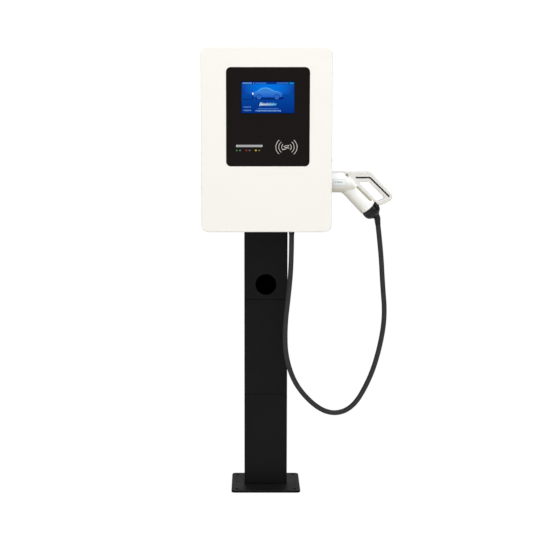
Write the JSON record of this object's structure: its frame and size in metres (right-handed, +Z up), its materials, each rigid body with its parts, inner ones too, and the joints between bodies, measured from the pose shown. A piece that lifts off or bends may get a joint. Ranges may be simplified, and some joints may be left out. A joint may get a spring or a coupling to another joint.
{
  "type": "ev charging post",
  "caption": "Free-standing electric vehicle charging post: flat white cabinet with a display door on a slim black column, docked connector and looped cable.",
  "frame": {"origin": "centre of the anchor hole pattern, on the underside of the base plate", "axes": "+Z up, -Y towards the driver and out of the display, +X to the driver's right, the side of the connector"},
  "size_m": [0.638, 0.2967, 1.522],
  "materials": {
    "coat_black": "satin powder coat",
    "coat_base": "satin powder coat",
    "coat_white": "smooth satin powder coat",
    "zinc_steel": "zinc plated",
    "black_steel": "black oxide",
    "alloy": "sheet alloy",
    "rubber_black": "matt",
    "cable_jacket": "satin jacket",
    "plastic_black": "fine grain",
    "plastic_nut": "satin",
    "plastic_device": "moulded grey",
    "plastic_toggle": "satin",
    "shell_plastic": "satin moulded",
    "panel_glass": "black back-printed",
    "screen": "lit display",
    "bar_lens": "diffusing lens",
    "led_green": "lit lens",
    "led_red": "lit lens",
    "led_yellow": "lit lens",
    "board_green": "circuit board",
    "contact_metal": "silver plated",
    "brass": "plain",
    "chrome": "polished"
  },
  "bodies": {
    "post": {"base_plate": "coat_base", "column_spine": "coat_black", "column_cover_lower": "coat_black", "column_cover_middle": "coat_black", "column_cover_upper": "coat_black", "cover_screws": "black_steel", "column_cap": "plastic_black", "cabinet_bracket": "zinc_steel", "cabinet_fixings": "zinc_steel", "cabinet_shell": "coat_white", "gland_plate": "coat_white", "door_gasket": "rubber_black", "supply_grommet": "rubber_black", "hinge_leaves_cabinet": "zinc_steel", "hinge_pins": "zinc_steel", "exhaust_grille": "coat_white", "intake_grille": "coat_white", "mounting_panel": "zinc_steel", "power_module": "alloy", "control_board": "board_green", "aux_power_supply": "alloy", "din_rail": "zinc_steel", "main_breaker": "plastic_device", "energy_meter": "plastic_device", "terminal_block": "plastic_device", "dc_contactors": "plastic_black", "earth_bar": "brass", "fan_frames": "plastic_black", "connector_holster": "plastic_black", "output_gland_body": "plastic_black", "output_gland_nut": "plastic_black", "output_locknut": "plastic_black", "lock_housing": "chrome", "charging_cable": "cable_jacket"},
    "door": {"door_panel": "coat_white", "hinge_leaves_door": "zinc_steel", "display_glass": "panel_glass", "panel_carrier": "plastic_black", "lcd_module": "screen", "light_bar": "bar_lens", "led_green": "led_green", "led_red": "led_red", "led_yellow": "led_yellow", "door_boards": "board_green", "door_striker": "zinc_steel"},
    "lock": {"lock_cylinder": "chrome", "lock_cam": "zinc_steel"},
    "fan_lower": {"fan_rotor_lower": "plastic_black"},
    "fan_upper": {"fan_rotor_upper": "plastic_black"},
    "toggle": {"breaker_toggle": "plastic_toggle"},
    "connector": {"connector_shell_front": "shell_plastic", "connector_shell_back": "shell_plastic", "connector_screws": "black_steel", "guard_stripes": "plastic_black", "connector_nose": "plastic_black", "contact_pins": "contact_metal", "gland_nut": "plastic_nut", "bend_sleeve": "rubber_black"},
    "button": {"release_button": "shell_plastic"}
  },
  "joints": [
    {"name": "door_hinge", "type": "hinge", "parent": "post", "child": "door", "pos_m": [-0.209, -0.15, 1.225], "axis": [0, 0, -1], "range_deg": [0, 110]},
    {"name": "lock_turn", "type": "hinge", "parent": "post", "child": "lock", "pos_m": [0.203, -0.136, 1.155], "axis": [1, 0, 0], "range_deg": [0, 90]},
    {"name": "fan_spin_lower", "type": "hinge", "parent": "post", "child": "fan_lower", "pos_m": [0.19, -0.092, 1.3], "axis": [1, 0, 0], "continuous": true},
    {"name": "fan_spin_upper", "type": "hinge", "parent": "post", "child": "fan_upper", "pos_m": [0.19, -0.092, 1.39], "axis": [1, 0, 0], "continuous": true},
    {"name": "breaker_switch", "type": "hinge", "parent": "post", "child": "toggle", "pos_m": [-0.142, -0.115, 1.01], "axis": [1, 0, 0], "range_deg": [0, 70]},
    {"name": "connector_pull", "type": "slide", "parent": "post", "child": "connector", "axis": [1, 0, 0], "range_m": [0, 0.075], "deforming": ["charging_cable"]},
    {"name": "button_press", "type": "slide", "parent": "connector", "child": "button", "axis": [0, 0, -1], "range_m": [0, 0.003], "stiffness_N_per_m": 400}
  ]
}
